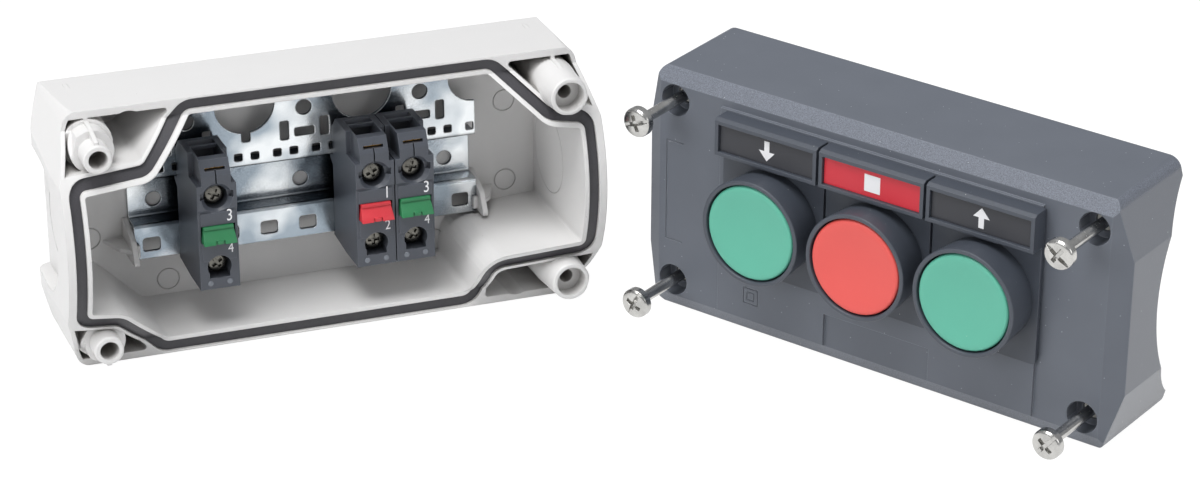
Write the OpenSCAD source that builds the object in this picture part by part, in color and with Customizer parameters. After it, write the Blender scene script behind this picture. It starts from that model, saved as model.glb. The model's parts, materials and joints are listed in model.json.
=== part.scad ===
/* [Enclosure] */
// Length over the bulged ends
body_l = 140.2; // [139:0.2:160]
// Width, which stands upright at rest
body_w = 68; // [67:1:80]
// How far the flat middle of each end stands out past its corners
end_bulge = 3.4; // [2.4:0.1:4.4]
// Half width of that flat middle
end_flat = 18; // [14:0.5:20]
// Radius of the four long corner edges
corner_r = 3.5; // [2:0.1:4.5]
// Height that the rim rises at the middle of each end
dome_rise = 14; // [8:0.5:16]
// Half width of the risen part of the rim
dome_half = 29.5; // [26:0.5:31]

/* [Base] */
// Depth from the rim to the back
base_d = 28.8; // [27:0.1:36]
// How much each long wall draws in towards the back
base_draft = 1.5; // [0.5:0.1:2]
// Thickness of the back
floor_t = 2.5; // [2:0.1:2.8]
// Half length of the gasket line
seal_end = 66.7; // [64:0.1:67]
// Half width of the gasket line along the long sides
seal_side = 32.1; // [31:0.1:32.4]
// Half width of the gasket line where it turns along the corner pockets
seal_shelf = 19.6; // [17.5:0.1:20]
// Length plus width where the gasket line cuts the long corner
seal_cut_long = 67.8; // [65:0.1:72]
// Length plus width where the gasket line cuts the two short corners
seal_cut_short = 76.3; // [73:0.1:80]
// Width of the gasket
seal_w = 2.8; // [1.8:0.1:3]
// Depth of the gasket groove
seal_d = 2.6; // [2:0.1:4]

/* [Screws] */
// Half distance between the screws along the length
screw_x = 60.6; // [60:0.1:61]
// Half distance between the screws across the width
screw_y = 25.45; // [25:0.05:25.8]
// Height of the post tips over the rim
post_tip = 11.9; // [9:0.1:13]
// Diameter of the screw threads
screw_d = 3.9; // [3.4:0.1:4.2]
// How far the screw heads stand out of the cover
screw_out = 17.7; // [15:0.1:20]

/* [Cover] */
// Depth from the rim to the front face
cover_d = 30.7; // [29:0.1:36]
// How much each long wall draws in towards the front
cover_draft = 0.4; // [0.3:0.1:1]
// Thickness of the cover's walls
cover_wall = 2.3; // [1.8:0.1:2.6]
// Thickness of the cover's front
front_t = 2.6; // [2:0.1:3]
// Turn of the standing cover from the base
cover_turn = -56.6; // [-80:0.1:-40]
// Place of the standing cover along the base's length
cover_x = 145.7; // [142:0.1:170]
// Place of the standing cover in front of the base
cover_y = -65.5; // [-80:0.1:-60]

/* [Buttons] */
// Distance between buttons
pitch = 31; // [30.8:0.1:32]
// Offset of the middle button along the cover
button_x = 1.7; // [0:0.1:2]
// Height of the button centres over the cover's middle
button_y = 1.8; // [1:0.1:2.4]
// Diameter of the bezels at their front
bezel_d = 28.4; // [27:0.1:30]
// Height of the bezels' front over the cover's front
bezel_top = 12.1; // [11:0.1:14]
// Diameter of the caps
cap_d = 25.2; // [24:0.1:25.4]
// Travel of the caps
cap_travel = 4; // [2:0.1:4.4]
// Width of a legend holder
holder_w = 30.2; // [29:0.1:30.6]

/* [Contact blocks] */
// Width of a contact block
block_w = 10.2; // [9:0.1:10.3]
// Travel of a plunger
plunger_travel = 2.5; // [1:0.1:2.7]

/* [Plate] */
// Length of the mounting plate
plate_l = 91.6; // [88:0.1:92]
// Thickness of its steel
plate_t = 1; // [0.8:0.1:1.2]
// Depth of its front faces behind the rim
plate_z = 19.5; // [18.5:0.1:20]

/* [Hidden] */
$fn = 64;

// Facets of the large circles
fine_fn = 360;
// Overrun of cuts
over = 1;
// Air between pieces that don't touch
air = 0.3;
// Radial clearance of a sliding fit
slide_air = 0.06;

// Half width, slope of the ends beside their flat middle, and the circle of the risen rim
half_w = body_w / 2;
end_slope = atan2(end_bulge, half_w - corner_r - end_flat);
dome_r = (pow(dome_half, 2) + pow(dome_rise, 2)) / (2 * dome_rise);
base_lean = atan2(base_draft, base_d);

// Steep corner of the gasket line: its places at the long side and at the shelf
seal_steep_side = 38.9;
seal_steep_shelf = 40.7;
// How much the shelves draw in towards the ends
seal_shelf_in = 1.4;
// Bends of the gasket line
seal_corner_r = 3.2;
seal_bend_r = 4.6;
// Gasket surface below the rim, and its side clearance
seal_low = 0.9;
seal_side_air = 0.05;
// Lip between gasket and opening, and land between gasket and pockets
lip_w = 1.15;
land_w = 0.95;
// Draft of the base's end walls and radii of its back edges
end_draft = 0.8;
back_end_r = 4;
back_side_r = 1.2;
// Corner pockets
pocket_wall = 1.9;
pocket_end_wall = 1.1;
pocket_d = 22;
pocket_corner_r = 2.6;
pocket_point_r = 0.8;
// Screw posts, their roots, bores and ribs
post_left_r = 3.7;
post_right_r = 5;
post_right_root_r = 5.8;
post_right_more = 0.9;
post_edge = 0.35;
post_root_r = 6.4;
post_root_top = 0.5;
post_collar_r = 5.5;
post_collar_top = 5.8;
post_bore_left_r = 2.4;
post_bore_right_r = 3.85;
post_bore_left_d = 9;
post_bore_right_d = 4.3;
post_thread_r = 1.75;
post_thread_d = 22;
post_rib_t = 1.1;
post_rib_low = 0.9;
post_rib_out = 4.3;
// Recess for a cable entry in each end wall, and its knock-out ring
entry_x = 66;
entry_r = 17;
entry_z = 14;
knockout_r = 10.2;
knockout_groove = 0.5;
knockout_inner_r = 11;
// Wall fixing holes, in the two corner pockets with room beside the post
fixing_x = 50;
fixing_y = 28;
fixing_r = 2.25;
fixing_way_r = 4.6;
// Ring marks on the floor
mark_r = 3;
mark_x = 36;
mark_y = 25.4;
mark_end_x = 56;
mark_end_y = 11.2;
mark_groove = 0.25;
// Lugs that hold the plate
lug_t = 1.4;
lug_low_y = 15.7;
lug_high_y = 6.6;
lug_front = 5.2;
lug_hook = 1.1;
lug_hook_t = 1.2;
lug_rib = 3.2;
lug_rib_y = 12.6;

// Mounting plate: flange, channel and upper part across the width
plate_low = 16;
channel_low = 6.6;
channel_high = 5.2;
plate_high = 26.5;
plate_bend_r = 1.1;
plate_neck_x = 38.7;
plate_neck_y = 15;
plate_neck_r = 6.8;
plate_corner_r = 3;
ring_hole_r = 7.9;
ring_hole_y = 22.3;
round_hole_r = 2.1;
round_hole_y = 19.5;
slot_long = 5.3;
slot_short = 2.4;
slot_y = 13.8;
slot_flat_y = 13;
square_w = 2.2;
square_y = 8.1;
flange_slot_w = 4.6;
flange_slot_h = 3.7;
flange_slot_y = 12.2;
channel_hole_r = 2;
channel_hole_x = 39;
channel_hole_y = 2.3;

// Contact blocks: places along the base and outline across it
block_1_x = -28.9;
block_2_x = 12.3;
block_3_x = 22.8;
block_low = 18.1;
block_high = 16.5;
block_front = 0.6;
block_head_front = 1;
block_head_low = 3;
block_ledge_y = 12.7;
block_ledge_z = 0.9;
block_cheek = 9.5;
block_back_slope = 3.4;
block_hook = 1.3;
well_high_y = 6.5;
well_low_y = 12.1;
well_r = 3.1;
well_d = 4.2;
funnel_w = 0.9;
funnel_d = 1.2;
slit_w = 0.35;
dimple_r = 0.7;
dimple_x = 2.5;
dimple_y = 16.5;
neck_in = 1.3;
neck_low = 10.2;
neck_back = 7;
groove_h = 1.9;
groove_d = 1.6;
groove_up = 0.8;
wire_w = 6.8;
wire_front = 6.6;
wire_back = 13.4;
wire_top_front = 2.6;
wire_bar_z = 10.4;
wire_bar_t = 0.9;
wire_slot_w = 5.3;
wire_slot_h = 3;
brass_w = 5;
brass_t = 0.5;
brass_y = 14.2;
brass_d = 1.6;
brass_air = 0.15;
block_wall = 0.9;
chamber_low = 8.6;
chamber_high = 3.4;
chamber_front = 4;
chamber_back = 17;
name_plate_t = 0.3;
name_plate_w = 8.8;
// Plungers
plunger_side = 0.8;
plunger_w = block_w - 2 * plunger_side;
plunger_high = 0.8;
plunger_low = 5.2;
plunger_nose = 3.3;
plunger_nose_y = 3.8;
plunger_nose_back = 0.8;
plunger_step = 0.9;
plunger_stem_w = 3.6;
plunger_stem_h = 3.2;
plunger_stem_end = 11;
plunger_air = 0.12;
plunger_rest_z = 4;
mouth_d = plunger_rest_z + plunger_travel + air;
bridge_z = 9.3;
bridge_t = 0.6;
bridge_w = 3.2;
bridge_end_air = 0.8;
spring_r = 1.6;
spring_hole_r = 1;
// Terminals
clamp_w = 6.2;
clamp_h = 5.6;
clamp_t = 6;
tongue_w = 2.8;
tongue_t = 0.8;
tongue_lap = 1.6;
terminal_head_r = 2.5;
terminal_head_t = 2.2;
terminal_shank_r = 1.25;
driver_slot_w = 0.7;
driver_slot_d = 1;

// Cover: chamfers of the front, panel and its pocket
side_chamfer_w = 4.2;
side_chamfer_d = 2.3;
end_chamfer_w = 4.9;
end_chamfer_d = 3.2;
panel_t = 0.8;
panel_left = 46.2;
panel_right = 47;
panel_high = 27.8;
panel_low = 29.4;
panel_pocket_top = 20.4;
cover_lean = atan2(cover_draft, cover_d - side_chamfer_d);
// Screw tubes and counterbores of the cover
tube_r = 5.3;
sink_r = 4.25;
sink_d = 5;
tube_bore_r = 2.6;
head_r = 3.9;
head_t = 2.8;
head_edge = 0.8;
cross_w = 1.1;
cross_l = 4.6;
cross_d = 1.6;
slot_w = 0.9;
shank_r = 1.45;
shank_l = 22;
thread_l = 11;
thread_tip = 1;
retainer_t = 1;
// Outline of the bare name field and of the double-insulation mark
field_x = 63.2;
field_w = 5.2;
field_h = 28.2;
field_line = 0.3;
field_cut = 0.25;
mark_square_x = 35.9;
mark_square_y = 22.4;
mark_square_w = 4.6;
mark_square_inner = 2.4;

// Buttons
bezel_root_d = 26.8;
bezel_wall = 1.2;
bezel_shank_r = 10.95;
bezel_shank_end = 12;
bezel_spring_r = 9.8;
bezel_spring_end = 8;
panel_hole_r = 11.15;
cap_face = 0.3;
cap_t = 3.8;
cap_dish_r = 95;
cap_edge = 0.5;
bezel_floor = bezel_top - cap_face - cap_t - cap_travel - air;
stem_r = 7.4;
stem_end = cover_d - plunger_nose - cap_travel + plunger_travel - air;
cap_spring_in = 7.7;
cap_spring_out = 9.2;
seal_ring_in = 11.4;
seal_ring_out = 14;
seal_ring_t = 0.8;
nut_r = 14;
nut_t = 4.5;
nut_flat_w = 3;
nut_flat_d = 1.2;

// Legend holders and labels
holder_t = 1;
holder_low = 14.6;
holder_high = 27.3;
holder_corner_r = 1;
frame_low = 17.2;
frame_front = 5.9;
frame_high = 26.7;
frame_edge = 1;
label_t = 0.6;
label_low = 0.9;
label_air = 0.1;
thumb_w = 10;
thumb_t = 0.5;

function unit(v) = v / norm(v);

// Arc of radius r that rounds the corner b between its neighbours a and c
function arc_at(a, b, c, r, n) = r <= 0 ? [b] :
    let (p = unit(a - b), q = unit(c - b),
         half = acos(p * q) / 2,
         m = b + unit(p + q) * r / sin(half),
         s = b + p * r / tan(half) - m,
         t = b + q * r / tan(half) - m,
         turn = sign(s[0] * t[1] - s[1] * t[0]) * (180 - 2 * half),
         from = atan2(s[1], s[0]))
    [for (i = [0:n]) m + r * [cos(from + turn * i / n), sin(from + turn * i / n)]];

// Outline through pts whose corners have the radii given
function rounded(pts, radii, n = 6) =
    [for (i = [0:len(pts) - 1])
        each arc_at(pts[(i + len(pts) - 1) % len(pts)], pts[i],
                    pts[(i + 1) % len(pts)], radii[i], n)];

// Rectangle of size s about the origin with corners of radius r
function round_box(s, r, n = 6) = rounded(
    [[-s[0] / 2, -s[1] / 2], [s[0] / 2, -s[1] / 2], [s[0] / 2, s[1] / 2], [-s[0] / 2, s[1] / 2]],
    [r, r, r, r], n);

// Frame of the base: x along the length, y up, z out of the opening, origin at the rim
module stand_base() {
    rotate([90 - base_lean, 0, 0])
        translate([0, half_w - base_draft / 2, base_d / 2])
            children();
}

// Frame of the cover: x along the length, y up, z out of the front, origin on the front face
module stand_cover() {
    translate([cover_x, cover_y, 0])
        rotate([0, 0, cover_turn])
            rotate([90 + cover_lean, 0, 0])
                translate([0, half_w, cover_d])
                    children();
}

// Outline of both halves, drawn in by an inset
module plan(inset) {
    r = max(corner_r - inset, corner_r / 4);
    y = half_w - inset - r;
    slope_far = cos(end_slope) * body_l / 2 + sin(end_slope) * end_flat - inset;
    x = (slope_far - r - sin(end_slope) * y) / cos(end_slope);
    flat = (slope_far - cos(end_slope) * (body_l / 2 - inset)) / sin(end_slope);
    for (sx = [-1, 1], sy = [-1, 1]) translate([sx * x, sy * y]) circle(r);
    for (sx = [-1, 1])
        polygon([[0, half_w - inset], [sx * x, half_w - inset],
                 [sx * (x + r * cos(end_slope)), y + r * sin(end_slope)],
                 [sx * (body_l / 2 - inset), flat], [sx * (body_l / 2 - inset), -flat],
                 [sx * (x + r * cos(end_slope)), -y - r * sin(end_slope)],
                 [sx * x, inset - half_w], [0, inset - half_w]]);
}

// Everything below the rim surface, lowered by drop
module under_rim(drop) {
    translate([-body_l, -body_w, -2 * base_d]) cube([2 * body_l, 2 * body_w, 2 * base_d - drop]);
    translate([-body_l, 0, dome_rise - dome_r - drop])
        rotate([0, 90, 0]) cylinder(r = dome_r, h = 2 * body_l, $fn = fine_fn);
}

// Places of a corner's slanted line at the long side and at the shelf
function seal_cut(cut) = [cut - seal_side, cut - seal_shelf];

seal_long = seal_cut(seal_cut_long);
seal_short = seal_cut(seal_cut_short);
seal_steep = [seal_steep_side, seal_steep_shelf];

// Length per width of that line
function seal_slant(cut) = (cut[1] - cut[0]) / (seal_side - seal_shelf);

// Corners of a closed line beside the gasket, inset by d, in one quarter
function seal_quarter(sx, sy, cut, d) =
    let (slant = seal_slant(cut), k = d * (slant - norm([1, slant])))
    [[sx * (seal_end - d), sy * (seal_shelf - seal_shelf_in - d)],
     [sx * (cut[1] + k), sy * (seal_shelf - d)],
     [sx * (cut[0] + k), sy * (seal_side - d)]];

function flip(list) = [for (i = [len(list) - 1:-1:0]) list[i]];

function seal_line(d) =
    let (turns = [seal_corner_r - d, seal_bend_r + d, seal_bend_r - d])
    rounded(concat(seal_quarter(1, 1, seal_short, d),
                   flip(seal_quarter(-1, 1, seal_long, d)),
                   seal_quarter(-1, -1, seal_short, d),
                   flip(seal_quarter(1, -1, seal_steep, d))),
            concat(turns, flip(turns), turns, flip(turns)));

// Standing ring that follows the gasket line
module seal_ring(air) {
    translate([0, 0, -base_d / 2])
        linear_extrude(base_d / 2 + dome_rise + over)
            difference() {
                polygon(seal_line(air - seal_w / 2));
                polygon(seal_line(seal_w / 2 - air));
            }
}

module corner_pocket(sx, sy, cut) {
    d = seal_w / 2 + land_w;
    slant = seal_slant(cut);
    low = seal_shelf + d;
    high = half_w - pocket_wall;
    far = body_l / 2;
    k = cut[0] + slant * seal_side + d * norm([1, slant]);
    low_far = low - seal_shelf_in * (far - cut[1]) / (seal_end - cut[1]);
    translate([0, 0, -pocket_d])
        linear_extrude(pocket_d + dome_rise + over)
            intersection() {
                plan(pocket_end_wall);
                mirror([sx < 0 ? 1 : 0, 0])
                    mirror([0, sy < 0 ? 1 : 0])
                        polygon(rounded([[far, low_far], [far, high], [k - slant * high, high],
                                         [k - slant * low, low]],
                                        [0, 0, pocket_point_r, pocket_corner_r]));
            }
}

// Height of a post, and its outline from the pocket's floor: collared left, tapered right
function post_high(sx) = sx < 0 ? post_tip : post_tip + post_right_more;

function post_side(sx) =
    let (top = post_high(sx), foot = -pocket_d - over / 2)
    sx < 0 ? [[0, foot], [post_root_r, foot], [post_root_r, post_root_top],
              [post_collar_r, post_root_top], [post_collar_r, post_collar_top],
              [post_left_r, post_collar_top], [post_left_r, top - post_edge],
              [post_left_r - post_edge, top], [0, top]]
           : [[0, foot], [post_right_root_r, foot], [post_right_root_r, 0],
              [post_right_r, top - post_edge], [post_right_r - post_edge, top], [0, top]];

// Screw post, standing in its pocket
module post(sx, sy) {
    wall = half_w - pocket_wall;
    rib_top = post_high(sx) - post_rib_low;
    translate([sx * screw_x, sy * screw_y, 0]) rotate_extrude() polygon(post_side(sx));
    translate([sx * screw_x - post_rib_t / 2, 0, 0])
        rotate([90, 0, 90])
            linear_extrude(post_rib_t)
                mirror([sy < 0 ? 1 : 0, 0])
                    polygon([[screw_y, -pocket_d - over / 2],
                             [wall + pocket_wall / 2, -pocket_d - over / 2],
                             [wall + pocket_wall / 2, -over], [wall, 0],
                             [screw_y + post_rib_out, rib_top], [screw_y, rib_top]]);
}

// Room over the rim for the wall of the closed cover
module cover_room() {
    difference() {
        translate([0, 0, -over])
            linear_extrude(post_high(1) + over)
                difference() {
                    plan(-over);
                    plan(cover_wall + air);
                }
        under_rim(0);
    }
}

module post_bore(sx, sy) {
    r = sx < 0 ? post_bore_left_r : post_bore_right_r;
    d = sx < 0 ? post_bore_left_d : post_bore_right_d;
    translate([sx * screw_x, sy * screw_y, post_high(sx) - d]) cylinder(r = r, h = d + over);
    translate([sx * screw_x, sy * screw_y, post_high(sx) - post_thread_d])
        cylinder(r = post_thread_r, h = post_thread_d);
}

// Solid block of the base, drawn in towards the back and cut to the rim
module base_block() {
    intersection() {
        translate([0, 0, -base_d]) linear_extrude(base_d + dome_rise + over) plan(0);
        rotate([90, 0, 90])
            linear_extrude(2 * body_l, center = true)
                polygon(rounded([[base_draft - half_w, -base_d], [half_w - base_draft, -base_d],
                                 [half_w, 0], [half_w, base_d], [-half_w, base_d], [-half_w, 0]],
                                [back_side_r, back_side_r, 0, 0, 0, 0]));
        rotate([90, 0, 0])
            linear_extrude(2 * body_w, center = true)
                polygon(rounded([[end_draft - body_l / 2, -base_d], [body_l / 2 - end_draft, -base_d],
                                 [body_l / 2, 0], [body_l / 2, base_d], [-body_l / 2, base_d],
                                 [-body_l / 2, 0]],
                                [back_end_r, back_end_r, 0, 0, 0, 0]));
        under_rim(0);
    }
}

// Recess with an arched front in one end wall, with a knock-out ring on its floor
module cable_entry(side) {
    mirror([side < 0 ? 1 : 0, 0, 0]) {
        translate([entry_x, 0, -entry_z]) {
            rotate([0, 90, 0]) cylinder(r = entry_r, h = body_l);
            translate([0, -entry_r, -base_d]) cube([body_l, 2 * entry_r, base_d]);
        }
        translate([entry_x - knockout_groove, 0, -entry_z])
            rotate([0, 90, 0])
                difference() {
                    cylinder(r = knockout_r, h = knockout_groove + over);
                    cylinder(r = knockout_r - knockout_groove, h = knockout_groove + over);
                }
        translate([seal_end - seal_w / 2 - lip_w - over, 0, -entry_z])
            rotate([0, 90, 0])
                difference() {
                    cylinder(r = knockout_inner_r, h = over + mark_groove);
                    cylinder(r = knockout_inner_r - mark_groove, h = over + mark_groove);
                }
    }
}

// Ring groove on the floor about a point
module floor_ring(x, y, r) {
    translate([x, y, floor_t - base_d - mark_groove])
        difference() {
            cylinder(r = r, h = mark_groove + over);
            cylinder(r = r - mark_groove, h = mark_groove + over);
        }
}

// Lug that hooks over one end of the plate's lower flange
module plate_lug(side) {
    floor_z = floor_t - base_d;
    lug_z = -plate_z + lug_front;
    mirror([side < 0 ? 1 : 0, 0, 0]) {
        translate([plate_l / 2 + slide_air, 0, 0])
            rotate([90, 0, 90])
                linear_extrude(lug_t)
                    polygon(rounded([[-lug_low_y, floor_z - floor_t / 2],
                                     [-lug_high_y, floor_z - floor_t / 2],
                                     [-lug_high_y, floor_z + lug_hook],
                                     [-channel_low - lug_rib, lug_z - lug_front / 2],
                                     [lug_hook - lug_low_y, lug_z],
                                     [-lug_low_y, lug_z]],
                                    [0, 0, lug_t, lug_rib, lug_t / 4, lug_t / 4]));
        translate([plate_l / 2 - lug_hook, -plate_low + lug_hook, -plate_z])
            cube([lug_hook + lug_t / 2, lug_rib, lug_hook_t]);
        translate([plate_l / 2 + lug_t / 2, lug_hook_t / 2 - lug_rib_y, 0])
            rotate([90, 0, 0])
                linear_extrude(lug_hook_t)
                    polygon([[0, floor_z - floor_t / 2], [2 * lug_rib, floor_z - floor_t / 2],
                             [lug_rib, lug_z - lug_front], [0, lug_z - lug_t]]);
    }
}

module enclosure_base() {
    color("gainsboro")
        stand_base()
            difference() {
                union() {
                    difference() {
                        base_block();
                        for (s = [-1, 1]) corner_pocket(s, s, seal_short);
                        corner_pocket(-1, 1, seal_long);
                        corner_pocket(1, -1, seal_steep);
                        translate([0, 0, floor_t - base_d])
                            linear_extrude(base_d + dome_rise + over)
                                polygon(seal_line(seal_w / 2 + lip_w));
                    }
                    difference() {
                        for (sx = [-1, 1], sy = [-1, 1]) post(sx, sy);
                        cover_room();
                    }
                    for (side = [-1, 1]) plate_lug(side);
                }
                difference() {
                    seal_ring(0);
                    under_rim(seal_d);
                }
                for (sx = [-1, 1], sy = [-1, 1]) {
                    post_bore(sx, sy);
                    floor_ring(sx * mark_end_x, sy * mark_end_y, mark_r);
                }
                for (side = [-1, 1]) {
                    translate([-side * fixing_x, side * fixing_y, -base_d - over])
                        cylinder(r = fixing_r, h = base_d);
                    translate([-side * fixing_x, side * fixing_y, -pocket_d])
                        cylinder(r = fixing_way_r, h = base_d);
                    floor_ring(side * mark_x, -mark_y, mark_r);
                    cable_entry(side);
                }
            }
}

module base_gasket() {
    color("dimgray")
        stand_base()
            difference() {
                intersection() {
                    seal_ring(seal_side_air);
                    under_rim(seal_low);
                }
                under_rim(seal_d);
            }
}

// Cuts a rectangle w by h with round corners at x, y through the plate
module plate_slot(x, y, w, h) {
    translate([x, y, -base_d])
        linear_extrude(base_d) polygon(round_box([w, h], min(w, h) / 5, 2));
}

module plate_hole(x, y, r) {
    translate([x, y, -base_d]) cylinder(r = r, h = base_d);
}

module mounting_plate() {
    back = plate_z + plate_t;
    deep = base_d - floor_t;
    third = pitch / 3;
    color("lightsteelblue")
        stand_base()
            difference() {
                intersection() {
                    rotate([90, 0, 90])
                        linear_extrude(plate_l, center = true)
                            polygon(rounded([[-plate_low, -plate_z], [-channel_low, -plate_z],
                                             [-channel_low, plate_t - deep],
                                             [channel_high, plate_t - deep],
                                             [channel_high, -plate_z], [plate_high, -plate_z],
                                             [plate_high, -back], [channel_high + plate_t, -back],
                                             [channel_high + plate_t, -deep],
                                             [-channel_low - plate_t, -deep],
                                             [-channel_low - plate_t, -back], [-plate_low, -back]],
                                            [0, plate_bend_r, plate_bend_r / 2, plate_bend_r / 2,
                                             plate_bend_r, 0, 0, plate_bend_r / 2, plate_bend_r,
                                             plate_bend_r, plate_bend_r / 2, 0]));
                    translate([0, 0, -base_d])
                        linear_extrude(base_d)
                            polygon(rounded([[plate_l / 2, -plate_low], [plate_l / 2, plate_neck_y],
                                             [plate_neck_x, plate_neck_y], [plate_neck_x, plate_high],
                                             [-plate_neck_x, plate_high],
                                             [-plate_neck_x, plate_neck_y],
                                             [-plate_l / 2, plate_neck_y], [-plate_l / 2, -plate_low]],
                                            [0, 0, plate_neck_r, plate_corner_r,
                                             plate_corner_r, plate_neck_r, 0, 0]));
                }
                for (s = [-1, 1]) {
                    plate_hole(s * pitch / 2, ring_hole_y, ring_hole_r);
                    plate_slot(s * pitch / 2, ring_hole_y - ring_hole_r, slot_short, 2 * slot_short);
                    plate_hole(s * channel_hole_x, -channel_hole_y, channel_hole_r);
                }
                plate_hole(0, -channel_hole_y, channel_hole_r);
                for (i = [-1:1]) {
                    plate_hole(i * pitch, round_hole_y, round_hole_r);
                    plate_slot(i * pitch, slot_flat_y, slot_long, slot_short);
                    for (s = [-1, 1])
                        plate_slot(i * pitch + s * slot_long, slot_y, slot_short, slot_long);
                }
                for (i = [-5:4], s = [-1, 1])
                    plate_slot((i + 1 / 2) * third + s * square_w, square_y, square_w, square_w);
                for (i = [-4, -2, -1, 0, 1, 2, 4])
                    plate_slot(i * third, -flange_slot_y, flange_slot_w, flange_slot_h);
            }
}

// Space of the clamp at y
module clamp_space(y) {
    translate([-clamp_w / 2 - slide_air, y - clamp_h / 2 - slide_air, -wire_back - slide_air])
        cube([clamp_w + 2 * slide_air, clamp_h + 2 * slide_air, clamp_t + 2 * slide_air]);
}

// Wire entry from y = from to y = to, w wide
module wire_way(from, to, w) {
    translate([-w / 2, from, -wire_back]) cube([w, to - from, wire_back - wire_front]);
}

// Screw well in a face that stands at z = front
module screw_well(y, front) {
    translate([0, y, -well_d]) cylinder(r = well_r, h = well_d + front + over);
    translate([0, y, -wire_back]) cylinder(r = terminal_shank_r + slide_air, h = wire_back);
}

module contact_block(x) {
    color("dimgray")
        stand_base()
            translate([x, 0, 0])
                difference() {
                    union() {
                        rotate([90, 0, 90])
                            linear_extrude(block_w, center = true)
                                polygon([[-block_low, -block_cheek], [-block_low, block_front],
                                         [block_head_low, block_front],
                                         [block_head_low + block_front, block_head_front],
                                         [block_ledge_y, block_head_front],
                                         [block_high, -block_ledge_z],
                                         [block_high, block_back_slope - plate_z],
                                         [block_high - block_back_slope, -plate_z],
                                         [channel_high, -plate_z],
                                         [channel_high, -plate_z - plate_t - block_hook],
                                         [channel_high - block_hook, -plate_z - plate_t - block_hook],
                                         [channel_high - 2 * block_hook, -plate_z],
                                         [-plate_low, -plate_z],
                                         [-plate_low, -plate_z - plate_t],
                                         [-plate_low - block_hook, -plate_z - plate_t],
                                         [-plate_low - block_hook, -plate_z]]);
                        translate([-name_plate_w / 2, -plunger_high, 0])
                            cube([name_plate_w, block_head_low + plunger_high - air,
                                  block_front + name_plate_t]);
                        translate([-name_plate_w / 2, air - well_low_y + well_r / 2, 0])
                            cube([name_plate_w, well_low_y - well_r / 2 - plunger_low - air,
                                  block_front + name_plate_t]);
                    }
                    screw_well(well_high_y, block_head_front);
                    screw_well(-well_low_y, block_front);
                    translate([0, well_high_y, block_head_front - funnel_d])
                        cylinder(r1 = well_r, r2 = well_r + 2 * funnel_w, h = 2 * funnel_d);
                    // slit and groove at the upper well, dimples below the lower one, and the narrower head
                    translate([-slit_w / 2, well_high_y, block_head_front - funnel_d])
                        cube([slit_w, block_high, funnel_d + over]);
                    for (side = [-1, 1]) {
                        translate([side * dimple_x, -dimple_y, block_front]) sphere(dimple_r);
                        translate([side * block_w / 2 - neck_in, neck_low, -neck_back])
                            cube([2 * neck_in, block_high, neck_back + block_head_front + over]);
                    }
                    translate([-plunger_w / 2, well_high_y + groove_up - groove_h / 2,
                               block_head_front - groove_d])
                        cube([plunger_w, groove_h, groove_d + over]);
                    // slot of the brass lip, and wire entries at the top and below the lower screw
                    translate([-brass_w / 2 - brass_air, brass_y - brass_t / 2 - brass_air,
                               -block_ledge_z - brass_d - brass_air])
                        cube([brass_w + 2 * brass_air, brass_t + 2 * brass_air, block_front + 2 * brass_d]);
                    translate([-wire_w / 2, 0, 0])
                        rotate([90, 0, 90])
                            linear_extrude(wire_w)
                                polygon([[block_high + over, -wire_top_front],
                                         [block_ledge_y, -wire_front], [block_ledge_y, -wire_back],
                                         [block_high + over, -wire_back - funnel_d],
                                         [block_high + over, -wire_bar_z - wire_bar_t],
                                         [block_high - wire_bar_t, -wire_bar_z - wire_bar_t],
                                         [block_high - wire_bar_t, -wire_bar_z],
                                         [block_high + over, -wire_bar_z]]);
                    wire_way(well_high_y, block_high - wire_bar_t, wire_w);
                    wire_way(-block_low - over, -well_low_y, wire_w);
                    translate([-wire_slot_w / 2, -well_low_y - wire_slot_h, -well_d])
                        cube([wire_slot_w, wire_slot_h, well_d + block_front + over]);
                    clamp_space(well_high_y);
                    clamp_space(-well_low_y);
                    // chamber of the contacts, its tongues and the mouth of the plunger
                    translate([block_wall - block_w / 2, -chamber_low, -chamber_back])
                        cube([block_w - 2 * block_wall, chamber_low + chamber_high,
                              chamber_back - chamber_front]);
                    translate([-tongue_w / 2 - slide_air, -well_low_y, -wire_back - slide_air])
                        cube([tongue_w + 2 * slide_air, well_low_y + well_high_y,
                              clamp_t + 2 * slide_air]);
                    translate([-plunger_w / 2 - plunger_air, -plunger_low - plunger_air, -mouth_d])
                        cube([plunger_w + 2 * plunger_air,
                              plunger_low - plunger_high + 2 * plunger_air,
                              mouth_d + block_head_front + over]);
                }
}

// Brass lip, and two clamps with their contacts, under the bridge when open, over it when closed
module terminal_clamps(x, closed) {
    top = closed ? -bridge_z + slide_air + tongue_t
                 : -bridge_z - bridge_t - plunger_travel - slide_air;
    lap = bridge_end_air + tongue_lap;
    color("goldenrod")
        stand_base()
            translate([x, 0, 0]) {
                translate([-brass_w / 2, brass_y - brass_t / 2, -block_ledge_z - brass_d])
                    cube([brass_w, brass_t, brass_d]);
                for (y = [well_high_y, -well_low_y])
                    difference() {
                        union() {
                            translate([-clamp_w / 2, y - clamp_h / 2, -wire_back])
                                cube([clamp_w, clamp_h, clamp_t]);
                            translate([-tongue_w / 2, y > 0 ? chamber_high - lap : y, top - tongue_t])
                                cube([tongue_w, abs(y) + lap - (y > 0 ? chamber_high : chamber_low),
                                      tongue_t]);
                        }
                        translate([0, y, -wire_back - over])
                            cylinder(r = terminal_shank_r, h = clamp_t + 2 * over);
                    }
            }
}

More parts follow.
